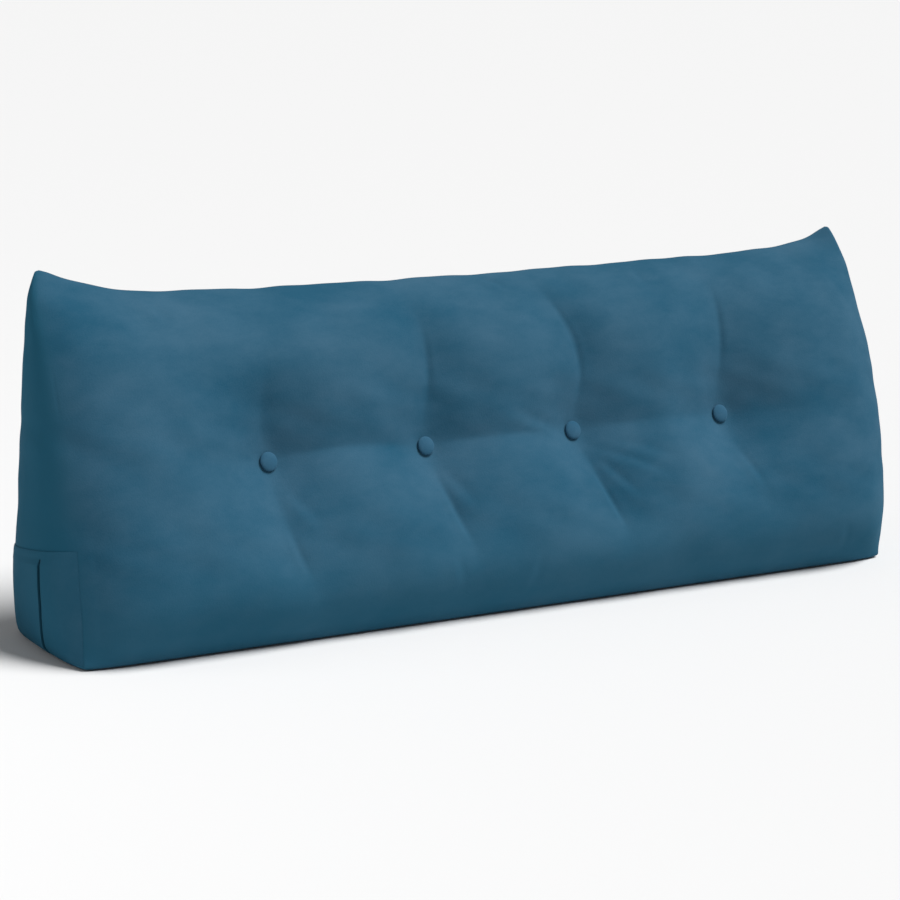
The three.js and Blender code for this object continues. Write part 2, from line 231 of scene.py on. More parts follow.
def tuft_share(x, up):
    """How far the face is held in, from 0 between the folds to 1 at a button. What each button and
    each fold leaves free is multiplied; beside a fold the cloth rises as it does beside a seam."""
    free = np.ones(np.broadcast(x, up).shape)
    for number, button in enumerate(BUTTONS_ALONG):
        away = np.hypot(x - button, up - BUTTON_UP)
        free = free * (1 - np.exp(-np.maximum(0, away - DISH_RADIUS) / TUFT_REACH))
        run = eased(up, UPRIGHT_FOLDS[:, 0] * MM, UPRIGHT_FOLDS[:, 1 + number] * MM)
        depth = eased(up, UPRIGHT_FOLDS[:, 0] * MM, UPRIGHT_FOLDS[:, 5 + number])
        beside = 1 - rise(soft_gap(x - run, depth), FOLD_REACH, FOLD_FULLNESS)
        free = free * (1 - FOLD_DEPTH * depth * beside)
    level = BUTTON_UP + eased(x, LEVEL_FOLD[:, 0] * MM, LEVEL_FOLD[:, 1] * MM)
    depth = eased(x, LEVEL_FOLD[:, 0] * MM, LEVEL_FOLD[:, 2])
    beside = 1 - rise(soft_gap(up - level, depth), FOLD_REACH, FOLD_FULLNESS)
    return 1 - free * (1 - FOLD_DEPTH * depth * beside)


def face_panel(along, up):
    """Patch between the seams, raised along FACE_OUT by the crown less what the tufts hold in."""
    puff = panel_puff(along, up, (0.220, 4.5), (0.110, 3.2), (0.150, 3.0))
    height = FACE_CROWN - TUFT_DEPTH * tuft_share(along * HALF_LENGTH, up * FACE_HEIGHT)
    return long_panel(along, up, -1) + (height * puff)[..., None] * FACE_OUT


def back_panel(along, up):
    """Patch between the seams, raised backwards by its crown."""
    puff = panel_puff(along, up, (0.200, 4.0), (0.130, 3.0), (0.150, 3.0))
    return long_panel(along, up, 1) + (BACK_CROWN * puff)[..., None] * BACK_OUT


def base_panel(along, across):
    """Flat on the floor, turned up to the seams as the square of the way into the rim."""
    a, b = ((along + 1) / 2)[..., None], across[..., None]
    back, front = base_long_seam(along, 1), base_long_seam(along, -1)
    left, right = base_end_seam(-1, across), base_end_seam(1, across)
    corners = [
        (base_long_seam(np.array(-1.0), 1), (1 - a) * (1 - b)),
        (base_long_seam(np.array(1.0), 1), a * (1 - b)),
        (base_long_seam(np.array(-1.0), -1), (1 - a) * b),
        (base_long_seam(np.array(1.0), -1), a * b),
    ]
    patch = back * (1 - b) + front * b + left * (1 - a) + right * a
    patch = patch - sum(corner * weight for corner, weight in corners)
    inside = np.minimum((1 - np.abs(along)) * HALF_LENGTH, np.minimum(across, 1 - across) * BASE_DEPTH)
    patch[..., 2] = SEAM_HEIGHT * np.maximum(0, 1 - inside / BASE_RIM) ** 2
    return patch


def end_panel(end, across, up):
    """Straight lines from the back seam to the face seam, the foot on its own seam, with a crown."""
    t = across[..., None]
    back, front = upright_seam(end, up, 1), upright_seam(end, up, -1)
    zero = np.zeros_like(up)
    foot = upright_seam(end, zero, 1) * (1 - t) + upright_seam(end, zero, -1) * t
    panel = back * (1 - t) + front * t + (base_end_seam(end, across) - foot) * (1 - up)[..., None]
    puff = 1 - np.abs(across * 2 - 1) ** 3
    puff = puff * rise(up * EAR_HEIGHT, 0.140, 2.4) * np.maximum(0, 1 - up) ** 0.4
    panel[..., 0] += end * END_CROWN * puff
    return panel


def lines(stops, step):
    """Grid lines through every stop, even between two stops and no further apart than step."""
    runs = [
        np.linspace(a, b, max(1, int(np.ceil((b - a) / step - 1e-6))), endpoint=False)
        for a, b in zip(stops[:-1], stops[1:])
    ]
    return np.append(np.concatenate(runs), stops[-1])


def quads(columns, rows, start, outward):
    """Corner numbers of a grid's quads, wound with the right-hand rule where outward is true."""
    first = start + np.arange(rows - 1)[:, None] * columns + np.arange(columns - 1)
    ring = [first, first + 1, first + columns + 1, first + columns]
    if not outward:
        ring.reverse()
    return np.stack(ring, -1).reshape(-1, 4)


def welded(place, faces, reach=2e-6):
    """Joins the points that lie on each other. Returns the kept points' numbers, each given point's
    new number, quads and triangles."""
    key = np.round(place / reach + 0.31).astype(np.int64)
    _, kept, joined = np.unique(key, axis=0, return_index=True, return_inverse=True)
    joined = joined.reshape(-1)
    faces = joined[faces]
    same = faces == np.roll(faces, -1, axis=1)
    whole = faces[~same.any(1)]
    threes = [np.delete(faces[same[:, k] & (same.sum(1) == 1)], k, axis=1) for k in range(4)]
    return kept, joined, whole, np.concatenate(threes)


def new_mesh(name, place, *face_lists):
    """A mesh object at the origin from points and lists of quads and triangles, shaded smooth."""
    mesh = bpy.data.meshes.new(name)
    polygons = [face for faces in face_lists for face in faces.tolist()]
    mesh.from_pydata(place.tolist(), [], polygons)
    mesh.shade_smooth()
    piece = bpy.data.objects.new(name, mesh)
    bpy.context.scene.collection.objects.link(piece)
    return piece


# Grid of the cover: lines lie close together beside each seam and fold, and wide between them
CLOSE = np.array([0, 4, 9, 15, 22, 31]) * MM
upright_stops = np.concatenate([
    -HALF_LENGTH + CLOSE,
    *[button + np.concatenate([-CLOSE[:0:-1], CLOSE]) for button in BUTTONS_ALONG],
    HALF_LENGTH - CLOSE[::-1],
])
row_stops = np.concatenate(
    [CLOSE, BUTTON_UP - CLOSE[:0:-1], BUTTON_UP + CLOSE, FACE_HEIGHT - CLOSE[::-1]]
)
across_stops = np.concatenate([CLOSE, BASE_DEPTH - CLOSE[::-1]])
column_lines = lines(upright_stops, 0.0115)
row_lines = lines(row_stops, 0.0115)
across_lines = lines(across_stops, 0.0125) / BASE_DEPTH

fold_knots = np.concatenate([[-HALF_LENGTH], BUTTONS_ALONG, [HALF_LENGTH]])
hats = np.stack([np.interp(column_lines, fold_knots, row) for row in np.eye(len(fold_knots))])


def column_run(up):
    """Where each upright grid line runs at a height, so that one follows every upright fold."""
    runs = [eased(up, UPRIGHT_FOLDS[:, 0] * MM, UPRIGHT_FOLDS[:, 1 + k] * MM) for k in range(4)]
    ends = np.full_like(runs[0], HALF_LENGTH)
    return np.stack([-ends, *runs, ends], -1) @ hats


foot_run, top_run = column_run(np.array([0.0, FACE_HEIGHT]))
face_x = column_run(row_lines)
level_shift = eased(face_x, LEVEL_FOLD[:, 0] * MM, LEVEL_FOLD[:, 1] * MM)
level_shift[:, [0, -1]] = 0
near_level = np.maximum(0, 1 - np.abs(row_lines - BUTTON_UP) / 0.100)
face_up = row_lines[:, None] + level_shift * near_level[:, None]
back_up = np.broadcast_to((row_lines / FACE_HEIGHT)[:, None], face_x.shape)
back_x = foot_run * (1 - back_up) + top_run * back_up
base_across = np.broadcast_to(across_lines[:, None], (len(across_lines), len(column_lines)))
base_x = np.broadcast_to(foot_run, base_across.shape)
end_up = np.broadcast_to((row_lines / FACE_HEIGHT)[:, None], (len(row_lines), len(across_lines)))
end_across = np.broadcast_to(across_lines, end_up.shape)

panels = [
    (face_panel(face_x / HALF_LENGTH, face_up / FACE_HEIGHT), True),
    (back_panel(back_x / HALF_LENGTH, back_up), False),
    (base_panel(base_x / HALF_LENGTH, base_across), True),
    (end_panel(-1, end_across, end_up), True),
    (end_panel(1, end_across, end_up), False),
]
FACE, BACK, BASE, LEFT_END, RIGHT_END = range(5)
cover_faces, start = [], 0
for panel, outward in panels:
    cover_faces.append(quads(panel.shape[1], panel.shape[0], start, outward))
    start += panel.shape[0] * panel.shape[1]
cover_place = np.concatenate([panel.reshape(-1, 3) for panel, _ in panels])

# How far each point is from the upright seams and from the level seams, in metres
row_edge = np.minimum(row_lines, FACE_HEIGHT - row_lines)[:, None]
across_edge = np.minimum(across_lines, 1 - across_lines) * BASE_DEPTH
upright_edge = np.concatenate([
    (HALF_LENGTH - np.abs(face_x)).ravel(),
    (HALF_LENGTH - np.abs(back_x)).ravel(),
    (HALF_LENGTH - np.abs(base_x)).ravel(),
    *[(across_edge * (1 - end_up)).ravel()] * 2,
])
level_edge = np.concatenate([
    *[(row_edge + 0 * face_x).ravel()] * 2,
    (across_edge[:, None] + 0 * base_x).ravel(),
    *[(row_lines[:, None] + 0 * end_up).ravel()] * 2,
])
kept, cover_joined, cover_quads, cover_threes = welded(cover_place, np.concatenate(cover_faces))
cover_place = cover_place[kept]
upright_edge, level_edge = upright_edge[kept], level_edge[kept]
panel_of = np.repeat(np.arange(5), [panel.shape[0] * panel.shape[1] for panel, _ in panels])[kept]
face_run = np.concatenate([face_x.ravel(), np.zeros(start - face_x.size)])[kept]
face_height = np.concatenate([face_up.ravel(), np.zeros(start - face_x.size)])[kept]
cushion = new_mesh("cushion_cover", cover_place, cover_quads, cover_threes)


def evened(place, faces, share, times):
    """Evens out places or moves: each goes towards the mean of its neighbours by share, so often."""
    edges = np.concatenate([faces[:, [k, (k + 1) % 4]] for k in range(4)])
    pairs = np.unique(np.sort(edges, axis=1), axis=0)
    pairs = np.concatenate([pairs, pairs[:, ::-1]])
    count = np.bincount(pairs[:, 0], minlength=len(place))[:, None]
    for _ in range(times):
        sums = [np.bincount(pairs[:, 0], column[pairs[:, 1]], len(place)) for column in place.T]
        beside = np.stack(sums, 1)
        place = place + share[:, None] * (beside / np.maximum(count, 1) - place)
    return place


def swell(piece, faces, held, pressure, furthest):
    """Fills a closed cover: Cloth with pressure and no gravity for 20 frames, where held is 1 a point
    stays. The moves are evened out from point to point and none is more than furthest."""
    group = piece.vertex_groups.new(name="held")
    for weight in np.unique(np.round(held, 1)):
        group.add(np.flatnonzero(np.round(held, 1) == weight).tolist(), float(weight), "REPLACE")
    cloth = piece.modifiers.new("filling", "CLOTH")
    setting = cloth.settings
    setting.quality = 6
    setting.mass = 0.4
    setting.air_damping = 4
    setting.tension_stiffness = setting.compression_stiffness = 25
    setting.shear_stiffness = 12
    setting.bending_stiffness = 1.5
    setting.use_pressure = True
    setting.uniform_pressure_force = pressure
    setting.shrink_min = -0.012
    setting.vertex_group_mass = "held"
    setting.effector_weights.gravity = 0
    cloth.collision_settings.use_collision = False
    before = np.empty(len(piece.data.vertices) * 3, np.float32)
    piece.data.vertices.foreach_get("co", before)
    for step in range(1, 21):
        bpy.context.scene.frame_set(step)
    after = np.empty_like(before)
    filled = piece.evaluated_get(bpy.context.evaluated_depsgraph_get()).to_mesh()
    filled.vertices.foreach_get("co", after)
    piece.modifiers.remove(cloth)
    piece.vertex_groups.remove(group)
    bpy.context.scene.frame_set(1)
    move = (after - before).reshape(-1, 3)
    length = np.linalg.norm(move, axis=1, keepdims=True)
    move *= np.minimum(1, furthest / np.maximum(length, 1e-9))
    return before.reshape(-1, 3) + evened(move, faces, 0.6 * (1 - held), 30)


tufted = tuft_share(face_run, face_height) * (panel_of == FACE)
held = np.clip(1 - np.minimum(upright_edge, level_edge) / 0.005, 0, 1)
on_upright = np.min([
    np.abs(face_run - eased(face_height, UPRIGHT_FOLDS[:, 0] * MM, UPRIGHT_FOLDS[:, 1 + k] * MM))
    for k in range(4)
], axis=0)
on_level = np.abs(face_height - BUTTON_UP - eased(face_run, LEVEL_FOLD[:, 0] * MM, LEVEL_FOLD[:, 1] * MM))
on_fold = (np.minimum(on_upright, on_level) < 0.001) & (panel_of == FACE)
held = np.maximum(held, on_fold * np.clip((tufted - 0.30) / 0.30, 0, 0.5))
for button in BUTTONS_ALONG:
    in_dish = np.hypot(face_run - button, face_height - BUTTON_UP) < DISH_RADIUS + DISH_MARGIN
    held = np.maximum(held, in_dish & (panel_of == FACE))
held = np.where(panel_of == BASE, 1, held)
cover_place = swell(cushion, cover_quads, held, FILLING_PRESSURE, FURTHEST_SWELL)

# The upright seams of the face round off: the left one from top to foot, the right one at its foot
below_ear = np.clip((EAR_HEIGHT - 0.020 - cover_place[:, 2]) / 0.040, 0, 1)
between = np.minimum(below_ear, np.clip((cover_place[:, 2] - SEAM_HEIGHT) / 0.020, 0, 1))
right_edge = 0.12 + 0.40 * np.exp(-((cover_place[:, 2] / 0.050) ** 2))
softened = np.where(cover_place[:, 0] < 0, 0.60, right_edge) * between
softened = softened * (cover_place[:, 1] < HALF_DEPTH - 0.030)
softened = softened * np.exp(-((upright_edge / EDGE_ROUNDING) ** 2))
cover_place = evened(cover_place, cover_quads, softened, 24)
for end in (-1, 1):
    tip = points(end * (HALF_LENGTH - EAR_INSET), HALF_DEPTH, EAR_HEIGHT)
    by_tip = np.linalg.norm(cover_place - tip, axis=1)
    cover_place = evened(cover_place, cover_quads, 0.5 * np.exp(-((by_tip / EAR_ROUNDING) ** 2)), 6)

# The weight of the filling spreads the foot: out at the left end and along both sides, while the
# right end tucks in under itself
spread_low, spread_high = (np.exp(-((cover_place[:, 2] / reach) ** 2)) for reach in (0.014, 0.035))
by_end = np.clip(cover_place[:, 0] / (HALF_LENGTH - 0.010), -1, 1) ** 15
by_end *= np.clip((HALF_DEPTH - np.abs(cover_place[:, 1])) / 0.040, 0, 1) ** 0.5
cover_place[:, 0] += by_end * np.where(by_end < 0, spread_high * FOOT_SPREAD[0], spread_low * FOOT_SPREAD[1])
by_side = np.clip(cover_place[:, 1] / (HALF_DEPTH - 0.010), -1, 1) ** 7
cover_place[:, 1] += by_side * spread_low * FOOT_SPREAD[2]
cushion.data.vertices.foreach_set("co", cover_place.astype(np.float32).ravel())

# Painted shade: a darker, more saturated pile colour on the left end and along the foot of the face, where
# the cushion is in shade
on_left_end_panel = np.clip((-0.690 - cover_place[:, 0]) / 0.035, 0, 1) * (panel_of == LEFT_END)
by_foot = 0.9 * np.exp(-((cover_place[:, 2] / 0.085) ** 2)) * (panel_of == FACE)
painted_shade = np.maximum(on_left_end_panel, by_foot)
painted_shade = evened(painted_shade[:, None], cover_quads, np.full(len(painted_shade), 0.5), 26)[:, 0]
for name, values in [("seam_distance", level_edge), ("face_run", face_run), ("face_height", face_height),
                     ("on_face", (panel_of == FACE) * 1.0), ("painted_shade", painted_shade)]:
    carried = cushion.data.attributes.new(name, "FLOAT", "POINT")
    carried.data.foreach_set("value", values.astype(np.float32))
cushion.data.update()
cushion.modifiers.new("finer", "SUBSURF").levels = 1
coarse = cushion.data
cushion.data = bpy.data.meshes.new_from_object(cushion.evaluated_get(bpy.context.evaluated_depsgraph_get()))
cushion.modifiers.clear()
bpy.data.meshes.remove(coarse)


def carried_values(piece, name):
    """Reads a float attribute of every point."""
    values = np.empty(len(piece.data.vertices), np.float32)
    piece.data.attributes[name].data.foreach_get("value", values)
    return values.astype(float)


# Small creases pressed into the face near the tufts: where each starts, bends and ends on the face,
# how deep it is and how wide, with a soft ridge on its lower left side
SMALL_CREASES = np.array([
    # start, bend, end (each along and up), deep, wide
    [150, 222, 205, 198, 262, 164, 1.9, 9.0],
    [158, 204, 178, 170, 212, 138, 1.7, 9.0],
    [180, 228, 236, 212, 290, 184, 1.2, 11.],
    [-20, 292, 38, 274, 98., 258, 1.6, 12.],
    [10., 270, 52, 266, 96., 256, 0.9, 10.],
    [8.0, 493, 30, 490, 50., 470, 1.8, 8.0],
    [-143, 88, -132, 64, -132, 40, 1.2, 11.],
    [12., 74, 3., 48, -6., 16, 1.2, 11.],
    [-404, 160, -402, 118, -386, 84, 1.2, 9.0],
    [-133, 196, -126, 148, -106, 98, 1.7, 9.0],
    [144, 186, 154, 142, 174, 96, 1.9, 9.0],
    [424, 200, 436, 160, 450, 124, 1.2, 10.],
    [-130, 310, -122, 366, -128, 424, 1.0, 9.0],
    [146, 310, 158, 376, 116, 446, 1.4, 9.0],
    [418, 310, 430, 376, 429, 440, 1.2, 9.0],
    [-392, 214, -372, 176, -350, 142, 1.3, 12.],
    [-122, 216, -102, 178, -84, 148, 1.4, 12.],
    [600, 60, 612, 40, 618, 14, 1.2, 12.],
    [-560, 480, -548, 462, -545, 440, 1.2, 12.],
    [300, 486, 306, 470, 300, 452, 1.2, 11.],
])


def creased(x, up, rows):
    """Depth of the small creases: along a bent line a bell across it, faded by a sine at both ends,
    less a wider bell to the lower left of it, which is the ridge."""
    depth = np.zeros_like(x)
    t = np.linspace(0, 1, 25)[:, None]
    for ax, ay, bx, by, cx, cy, deep, wide in rows:
        line = ((1 - t) ** 2 * (ax, ay) + 2 * t * (1 - t) * (bx, by) + t**2 * (cx, cy)) * MM
        near = np.flatnonzero(np.hypot(x - line[12, 0], up - line[12, 1]) < 0.150)
        gap_x, gap_y = x[near, None] - line[:, 0], up[near, None] - line[:, 1]
        gap = np.hypot(gap_x, gap_y)
        nearest = gap.argmin(1)
        pick = np.arange(len(near)), nearest
        run = np.gradient(line, axis=0)[nearest]
        side = np.sign(gap_x[pick] * run[:, 1] - gap_y[pick] * run[:, 0]) * gap[pick] / (wide * MM)
        fade = np.sin(np.pi * np.clip(nearest / 24, 0.04, 0.96)) * (gap[pick] < 3 * wide * MM)
        depth[near] += deep * MM * fade * (np.exp(-(side**2) * 2) - 0.6 * np.exp(-((side - 1.1) ** 2) * 1.5))
    return depth


# Creases and the lumps of the loose filling, as moves along the normals of the filled cover
filled = np.empty(len(cushion.data.vertices) * 3, np.float32)
cushion.data.vertices.foreach_get("co", filled)
filled = filled.reshape(-1, 3).astype(float)
normals = np.empty(filled.size, np.float32)
cushion.data.vertex_normals.foreach_get("vector", normals)
x, y, z = filled.T
lumps = np.sin(x * 31 + 1.7 * np.sin(z * 19 + 0.6)) * np.sin(z * 37 + 1.3 * np.sin(x * 14 + 2.1))
lumps = lumps + 0.6 * np.sin(x * 67 + z * 23 + 1.9 * np.sin(z * 41)) * np.sin(z * 59 - x * 17)
above_floor = np.clip((z - np.where(x < 0.020 - HALF_LENGTH, 0.155, 0.004)) / 0.030, 0, 1)
face_run, face_height, on_face, from_seam = (
    carried_values(cushion, name) for name in ("face_run", "face_height", "on_face", "seam_distance")
)
inward = creased(face_run, face_height, SMALL_CREASES) * on_face * np.clip(from_seam / 0.012, 0, 1)
clear_of_buttons = np.min([np.hypot(x - along, z - BUTTON_MIDDLE) for along in BUTTONS_ALONG], axis=0)
outward = LUMP_HEIGHT * lumps * above_floor * np.clip((clear_of_buttons - 0.020) / 0.040, 0, 1) - inward
filled = filled + outward[:, None] * normals.reshape(-1, 3)
cushion.data.vertices.foreach_set("co", filled.astype(np.float32).ravel())
for name in ("face_run", "face_height", "on_face"):
    cushion.data.attributes.remove(cushion.data.attributes[name])
cushion.data.update()


def velvet_pile():
    """Node group: colours and a height for short cut pile, from noise at the size of hand marks, of
    tufts and of single threads, on a place in metres, with a narrow groove along the seams. Painted shade:
    the colour is darkened in the groove, and a darker pile colour is mixed in by a share."""
    group = bpy.data.node_groups.new("Velvet pile", "ShaderNodeTree")
    for socket, kind in [
        ("Place", "NodeSocketVector"),
        ("Seam Distance", "NodeSocketFloat"),
        ("Upright Pile", "NodeSocketColor"),
        ("Brushed Pile", "NodeSocketColor"),
        ("Painted Shade Pile", "NodeSocketColor"),
        ("Painted Shade", "NodeSocketFloat"),
        ("Mark Size", "NodeSocketFloat"),
        ("Groove Width", "NodeSocketFloat"),
        ("Painted Groove Shade", "NodeSocketFloat"),
    ]:
        group.interface.new_socket(name=socket, in_out="INPUT", socket_type=kind)
    for socket, kind in [
        ("Color", "NodeSocketColor"),
        ("Roughness", "NodeSocketFloat"),
        ("Height", "NodeSocketFloat"),
    ]:
        group.interface.new_socket(name=socket, in_out="OUTPUT", socket_type=kind)
    nodes, links = group.nodes, group.links
    given = nodes.new("NodeGroupInput")
    result = nodes.new("NodeGroupOutput")

    def math(operation, first, second):
        node = nodes.new("ShaderNodeMath")
        node.operation = operation
        for socket, value in zip(node.inputs, (first, second)):
            if isinstance(value, (int, float)):
                socket.default_value = value
            else:
                links.new(value, socket)
        return node.outputs[0]

    def noise(stretch, scale, detail, roughness=0.5):
        mapping = nodes.new("ShaderNodeMapping")
        mapping.inputs["Scale"].default_value = stretch
        links.new(given.outputs["Place"], mapping.inputs["Vector"])
        node = nodes.new("ShaderNodeTexNoise")
        node.inputs["Detail"].default_value = detail
        node.inputs["Roughness"].default_value = roughness
        links.new(mapping.outputs[0], node.inputs["Vector"])
        if isinstance(scale, (int, float)):
            node.inputs["Scale"].default_value = scale
        else:
            links.new(scale, node.inputs["Scale"])
        return node.outputs["Fac"]

    marks = noise((0.6, 1, 1), math("DIVIDE", 1.0, given.outputs["Mark Size"]), 4, 0.62)
    strokes = noise((0.5, 1, 1.2), 34, 3, 0.6)
    tufts = noise((1, 1, 1), 420, 2)
    threads = noise((1, 1, 1), 1300, 1)
    brushed = math("MULTIPLY_ADD", marks, 2.6)
    brushed.node.inputs[2].default_value = -0.80
    stroke_part = math("MULTIPLY", math("SUBTRACT", strokes, 0.5), 0.5)
    fine_part = math("MULTIPLY", math("SUBTRACT", tufts, 0.5), 0.5)
    share = math("ADD", math("ADD", brushed, stroke_part), fine_part)
    share.node.use_clamp = True
    mix = nodes.new("ShaderNodeMix")
    mix.data_type = "RGBA"
    links.new(share, mix.inputs["Factor"])
    links.new(given.outputs["Upright Pile"], mix.inputs["A"])
    links.new(given.outputs["Brushed Pile"], mix.inputs["B"])
    away = math("DIVIDE", given.outputs["Seam Distance"], given.outputs["Groove Width"])
    away.node.use_clamp = True
    flat = math("POWER", away, 0.6)
    shade = nodes.new("ShaderNodeMix")
    shade.data_type = "RGBA"
    shade.blend_type = "MULTIPLY"
    shade.inputs["Factor"].default_value = 1.0
    # painted shade: a darker, more saturated pile colour mixed in by the painted shade share
    painted_shade_mix = nodes.new("ShaderNodeMix")
    painted_shade_mix.data_type = "RGBA"
    links.new(given.outputs["Painted Shade"], painted_shade_mix.inputs["Factor"])
    links.new(mix.outputs["Result"], painted_shade_mix.inputs["A"])
    links.new(given.outputs["Painted Shade Pile"], painted_shade_mix.inputs["B"])
    links.new(painted_shade_mix.outputs["Result"], shade.inputs["A"])
    # painted shade: the colour is darkened towards the seam, down to the groove's shade value
    dim = nodes.new("ShaderNodeMapRange")
    links.new(given.outputs["Painted Groove Shade"], dim.inputs["To Min"])
    links.new(flat, dim.inputs["Value"])
    links.new(dim.outputs["Result"], shade.inputs["B"])
    links.new(shade.outputs["Result"], result.inputs["Color"])
    rough = nodes.new("ShaderNodeMapRange")
    rough.inputs["To Min"].default_value = 0.95
    rough.inputs["To Max"].default_value = 0.80
    links.new(share, rough.inputs["Value"])
    links.new(rough.outputs["Result"], result.inputs["Roughness"])
    pile = math("ADD", math("MULTIPLY", tufts, 0.00035), math("MULTIPLY", threads, 0.00015))
    uneven = math("ADD", pile, math("MULTIPLY", strokes, 0.0006))
    links.new(math("ADD", uneven, math("MULTIPLY", flat, 0.0004)), result.inputs["Height"])
    return group


PILE = velvet_pile()


def velvet(name, upright, brushed, mark_size, groove, painted_groove_shade, sheen, sheen_tint):
    """A velvet: the pile group feeds colour, roughness and bump; the sheen is set on the shader."""
    material = bpy.data.materials.new(name)
    material.use_nodes = True
    nodes, links = material.node_tree.nodes, material.node_tree.links
    shader = nodes["Principled BSDF"]
    shader.inputs["Sheen Weight"].default_value = sheen
    shader.inputs["Sheen Roughness"].default_value = 0.42
    shader.inputs["Sheen Tint"].default_value = sheen_tint
    shader.inputs["Specular IOR Level"].default_value = 0.08
    pile = nodes.new("ShaderNodeGroup")
    pile.node_tree = PILE
    pile.inputs["Upright Pile"].default_value = upright
    pile.inputs["Brushed Pile"].default_value = brushed
    # the painted shade colour, darker and more saturated than the pile
    pile.inputs["Painted Shade Pile"].default_value = (0.015, 0.096, 0.158, 1)
    pile.inputs["Mark Size"].default_value = mark_size
    pile.inputs["Groove Width"].default_value = groove
    pile.inputs["Painted Groove Shade"].default_value = painted_groove_shade
    place = nodes.new("ShaderNodeTexCoord")
    links.new(place.outputs["Object"], pile.inputs["Place"])
    edge = nodes.new("ShaderNodeAttribute")
    edge.attribute_name = "seam_distance"
    links.new(edge.outputs["Fac"], pile.inputs["Seam Distance"])
    painted_shade_share = nodes.new("ShaderNodeAttribute")
    painted_shade_share.attribute_name = "painted_shade"
    links.new(painted_shade_share.outputs["Fac"], pile.inputs["Painted Shade"])
    links.new(pile.outputs["Color"], shader.inputs["Base Color"])
    links.new(pile.outputs["Roughness"], shader.inputs["Roughness"])
    bump = nodes.new("ShaderNodeBump")
    bump.inputs["Distance"].default_value = 1.0
    bump.inputs["Strength"].default_value = 0.6
    links.new(pile.outputs["Height"], bump.inputs["Height"])
    links.new(bump.outputs["Normal"], shader.inputs["Normal"])
    return material


COVER_UPRIGHT = (0.017, 0.086, 0.147, 1)
COVER_BRUSHED = (0.041, 0.117, 0.185, 1)
COVER_SHEEN = (0.35, 0.60, 0.78, 1)
# The cover's colour is darkened to 0.90 in a 1.6 mm groove along its seams: painted shade.
cushion.data.materials.append(
    velvet("cover velvet", COVER_UPRIGHT, COVER_BRUSHED, 0.11, 0.0016, 0.90, 0.06, COVER_SHEEN)
)
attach(cushion, "root")
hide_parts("cushion")

# Four covered buttons. Each is a shell of 28 mm with the same velvet drawn over it and gathered
# under its rim, and a twine through the filling pulls it down into the dish of its tuft.
BUTTON_RADIUS = 0.014
BUTTON_RIM = 0.0021
BUTTON_DOME = 0.0040
BUTTON_EDGE = 0.0016
BUTTON_CLEARANCE = 0.00035
GATHERS = 22
GATHER_DEPTH = 0.00035


def covered_button(centre, outward):
    """Lathe profile: a flat foot, a rounded edge and a dome, as an ellipse. The edge is gathered by
    a cosine round it, strongest under the rim. It stands on centre and looks along outward."""
    turn = np.linspace(0, 2 * np.pi, 97)[:-1]
    edge = np.linspace(-np.pi / 2, 0, 7)[1:]
    dome = np.linspace(0, np.pi / 2, 15)[1:]
    rounded = BUTTON_RADIUS - BUTTON_EDGE + BUTTON_EDGE * np.cos(edge)
    radius = np.concatenate([[0, 0.006, 0.0115], rounded, BUTTON_RADIUS * np.cos(dome)])
    to_rim = BUTTON_RIM + BUTTON_RIM * np.sin(edge)
    height = np.concatenate([[0, 0, 0], to_rim, BUTTON_RIM + BUTTON_DOME * np.sin(dome)])
    gather = np.exp(-((height - BUTTON_RIM * 0.6) / 0.0022) ** 2) * (radius > 0.011)
    ripple = np.abs(np.cos(turn[:, None] * GATHERS / 2)) * gather * GATHER_DEPTH
    across = np.maximum(0, radius - ripple)
    side = np.cross(outward, [0, 0, 1.0])
    side /= np.linalg.norm(side)
    above = np.cross(side, outward)
    flat = np.cos(turn)[:, None, None] * side + np.sin(turn)[:, None, None] * above
    body = centre + across[..., None] * flat + height[:, None] * outward
    closed = np.concatenate([body, body[:1]])
    faces = quads(closed.shape[1], closed.shape[0], 0, False)
    return closed.reshape(-1, 3), faces


BUTTON_UPRIGHT = (0.024, 0.096, 0.166, 1)
BUTTON_BRUSHED = (0.041, 0.121, 0.196, 1)
BUTTON_SHEEN = (0.4, 0.64, 0.8, 1)
button_velvet = velvet(
    "button velvet", BUTTON_UPRIGHT, BUTTON_BRUSHED, 0.03, 0.0001, 1.0, 0.12, BUTTON_SHEEN
)
for number, along in enumerate(BUTTONS_ALONG, start=1):
    corner_x = (along + DISH_RADIUS * 0.6 * np.array([-1, 1, 0, 0, 0])) / HALF_LENGTH
    corner_up = (BUTTON_UP + DISH_RADIUS * 0.6 * np.array([0, 0, -1, 1, 0])) / FACE_HEIGHT
    left, right, low, high, middle = face_panel(corner_x, corner_up)
    outward = np.cross(right - left, high - low)
    outward /= np.linalg.norm(outward)
    place, faces = covered_button(middle + BUTTON_CLEARANCE * outward, outward)
    kept, _, whole, threes = welded(place, faces)
    button = new_mesh(f"covered_button_{number}", place[kept], whole, threes)
    button.data.materials.append(button_velvet)
    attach(button, "root")
    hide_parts(f"button_{number}")

# Side pocket. One cut of the cover velvet, hemmed at its mouth and sewn into the seams of the left
# end at its back, front and foot. A pleat down its middle lets it open; the fold lies to the back.
POCKET_FOOT = 0.007
POCKET_MOUTH = (0.128, 0.148)  # at the back seam, at the face
POCKET_CLOTH = 0.0010
POCKET_GAP = 0.0004
HEM = 0.020
PLEAT_OPENS = 0.010
HEM_FOLD = 0.0003
PLEAT_EDGE = np.array([[0.00, 0.640], [0.12, 0.632], [0.25, 0.648], [0.50, 0.680], [1.00, 0.692]])
PLEAT_LIFT = 0.0044
PLEAT_LIP = 0.0032
SLIT = 0.0036


